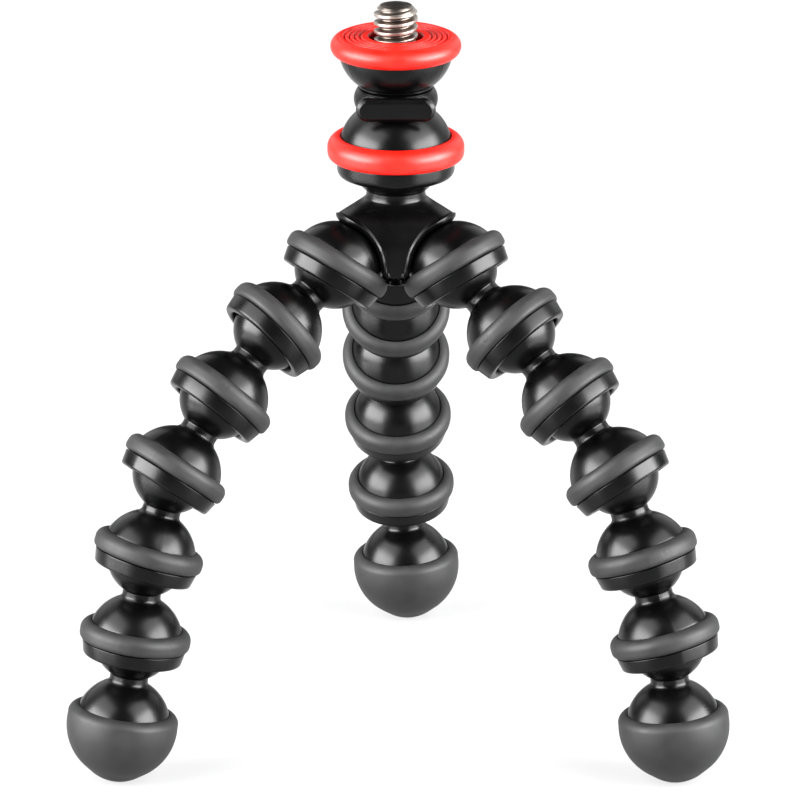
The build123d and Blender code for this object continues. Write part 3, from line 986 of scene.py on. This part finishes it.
def make_pad():
    """Rubber camera pad: a face with four Gaussian grooves, and a round bead at its rim."""
    _, platform_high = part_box("platform")
    _, pad_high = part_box("camera_pad")
    base = platform_high.z
    top = pad_high.z
    crown = pad_high.x - PAD_BEAD
    bead_middle = top - PAD_BEAD - PAD_BEAD_DROP
    out = np.linspace(PAD_HOLE + PAD_HOLE_EDGE, crown, num=150)
    dip = sum(np.exp(-(((out - groove) / PAD_GROOVE_WIDTH) ** 2)) for groove in PAD_GROOVES)
    face = np.column_stack((out, top - PAD_GROOVE_DEPTH * dip))
    bead = arc((crown, bead_middle), PAD_BEAD, PAD_BEAD_START, -90, steps=30)
    across, drop = PAD_HOLE_ROUND
    inside = (
        (BOWL_RIM, bead_middle - PAD_BEAD),
        (BOWL_RIM, base),
        (PAD_HOLE, base),
        (PAD_HOLE, top - PAD_HOLE_EDGE),
        (PAD_HOLE + across, top - drop),
    )
    section = refined(np.vstack((face, bead, inside, face[:1])), LONGEST_STEP)[:-1]
    pad = surface("camera_pad_rubber", lathe(section, RING_COLUMNS), ring=True)
    finish_piece(pad, RED_RUBBER, "camera_platform", "red_rubber", "camera_pad")


def make_screw():
    """Threaded camera stud with worn, rounded crests and a tapered first turn.

    The radius follows a softened triangle of the height less the helix's climb, capped by a
    cone at the tip. The end's height falls with the cube of the distance from the axis."""
    low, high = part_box("camera_screw")
    shaft_top = high.z - SCREW_CROWN
    height = np.linspace(shaft_top, low.z + SCREW_SUNK, num=420)[:, None]
    angle = full_turn(SCREW_COLUMNS)
    phase = (height / THREAD_PITCH - angle / (2 * np.pi)) % 1.0
    wave = 1 - 2 * np.abs(phase - 0.5)
    tooth = np.clip((wave - THREAD_FLAT) / THREAD_FLANK, 0, 1)
    soft = tooth * tooth * (3 - 2 * tooth)
    tooth = soft * THREAD_SOFTNESS + tooth * (1 - THREAD_SOFTNESS)
    radius = THREAD_ROOT + (THREAD_CREST - THREAD_ROOT) * tooth
    radius = np.minimum(radius, SCREW_TIP + (shaft_top - height) * SCREW_TAPER)
    shaft = round_axis(radius, angle, height)
    out = np.linspace(*SCREW_CROWN_REACH, num=14)[:, None]
    cap = round_axis(SCREW_TIP * out, angle, high.z - SCREW_CROWN * out**3)
    piece = surface("camera_stud", np.vstack((cap, shaft)))
    finish_piece(piece, STEEL, "head", "steel", "camera_screw")


# Studio
def make_floor():
    """Pale floor that glows a little."""
    mesh = bpy.data.meshes.new("studio_floor")
    corners = [(x, y, 0) for x, y in ((-1, -1), (1, -1), (1, 1), (-1, 1))]
    mesh.from_pydata((np.array(corners) * FLOOR_REACH).tolist(), [], [(0, 1, 2, 3)])
    floor = bpy.data.objects.new("studio_floor", mesh)
    bpy.context.scene.collection.objects.link(floor)
    paper, _, bsdf = shader("pale_paper")
    bsdf.inputs["Base Color"].default_value = FLOOR_TONE
    bsdf.inputs["Roughness"].default_value = FLOOR_ROUGHNESS
    bsdf.inputs["Specular IOR Level"].default_value = FLOOR_SHINE
    bsdf.inputs["Emission Color"].default_value = (1, 1, 1, 1)
    bsdf.inputs["Emission Strength"].default_value = FLOOR_GLOW
    floor.data.materials.append(paper)


def make_lights():
    """Soft lights at the sides, weaker ones behind and a dim surround.

    Each light is a rectangle that faces the object and is made on both sides of it. It fills
    its two angles, and its power is its radiance times pi times its area."""
    for name, azimuth, elevation, wide, tall, radiance in LIGHTS:
        for side in (-1, 1):
            light = bpy.data.lights.new(f"softbox_{name}", "AREA")
            light.shape = "RECTANGLE"
            light.size = 2 * LIGHT_DISTANCE * math.tan(math.radians(wide / 2))
            light.size_y = 2 * LIGHT_DISTANCE * math.tan(math.radians(tall / 2))
            light.energy = radiance * math.pi * light.size * light.size_y
            lamp = bpy.data.objects.new(f"softbox_{name}", light)
            turn = math.radians(side * azimuth)
            rise = math.radians(elevation)
            level = math.cos(rise)
            towards = Vector((level * math.sin(turn), -level * math.cos(turn), math.sin(rise)))
            lamp.location = LIGHT_AIM + towards * LIGHT_DISTANCE
            lamp.rotation_euler = (-towards).to_track_quat("-Z", "Y").to_euler()
            bpy.context.scene.collection.objects.link(lamp)
    world = bpy.data.worlds.new("studio")
    world.use_nodes = True
    background = world.node_tree.nodes["Background"]
    background.inputs["Color"].default_value = SURROUND_TONE
    background.inputs["Strength"].default_value = SURROUND_STRENGTH
    bpy.context.scene.world = world
    bpy.context.scene.view_settings.view_transform = "Standard"
    bpy.context.scene.view_settings.look = "Medium High Contrast"


def make_camera():
    """Camera in front of the object, looking down at the photograph's angle."""
    data = bpy.data.cameras.new("photo_camera")
    data.sensor_width = SENSOR_WIDTH
    data.lens = FOCAL_PIXELS / PHOTO_WIDTH * SENSOR_WIDTH
    camera = bpy.data.objects.new("photo_camera", data)
    back = Vector((0, -math.cos(CAMERA_PITCH), math.sin(CAMERA_PITCH)))
    camera.location = CAMERA_TARGET + back * CAMERA_DISTANCE
    camera.rotation_euler = (-back).to_track_quat("-Z", "Y").to_euler()
    bpy.context.scene.collection.objects.link(camera)
    bpy.context.scene.camera = camera


make_hub_cover()
make_hub_core()
make_head()
make_head_ring()
make_lock_ring()
make_thumb_tab()
make_platform()
make_pad()
make_screw()
make_floor()
make_lights()
make_camera()

bpy.context.view_layer.update()
